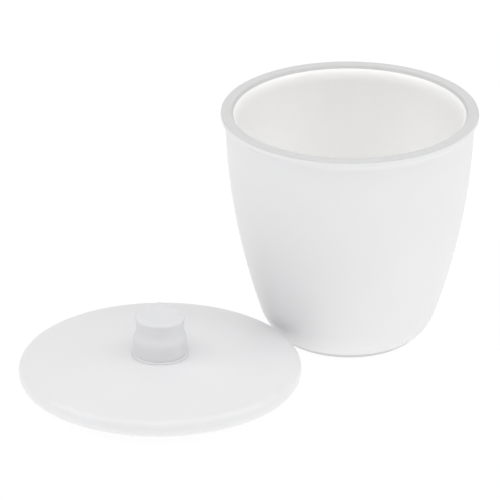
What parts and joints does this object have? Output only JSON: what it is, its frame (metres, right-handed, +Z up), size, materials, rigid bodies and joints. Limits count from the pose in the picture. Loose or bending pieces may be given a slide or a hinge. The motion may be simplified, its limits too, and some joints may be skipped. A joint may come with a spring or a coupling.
{
  "type": "porcelain crucible",
  "caption": "High-form porcelain crucible standing on its flat foot, glazed inside and out with a bare rim, and its crowned knob lid lying beside it.",
  "frame": {"origin": "centre of the cup's foot, on the surface that the cup stands on", "axes": "+Z up along the cup's axis; +X to the right and +Y away when the lid lies in front of the cup and to its left"},
  "size_m": [0.0921, 0.0812, 0.0484],
  "materials": {
    "biscuit_porcelain": "bare fired hard porcelain, matt and very finely rough",
    "porcelain_glaze": "thin clear feldspar glaze over white porcelain, satin gloss",
    "porcelain_glaze_inside": "the same glaze inside the cup, a little warmer",
    "knob_porcelain": "bare fired hard porcelain, hand pressed"
  },
  "bodies": {
    "cup": {"cup_body": "biscuit_porcelain", "cup_glaze_outside": "porcelain_glaze", "cup_glaze_inside": "porcelain_glaze_inside"},
    "lid": {"lid_disc": "biscuit_porcelain", "lid_glaze_top": "porcelain_glaze", "lid_glaze_under": "porcelain_glaze", "knob_slip": "biscuit_porcelain", "lid_knob": "knob_porcelain"}
  },
  "joints": [
    {"name": "lid_lift", "type": "slide", "parent": "cup", "child": "lid", "axis": [-0.4072, -0.2901, 0.866], "range_m": [0, 0.06]}
  ]
}
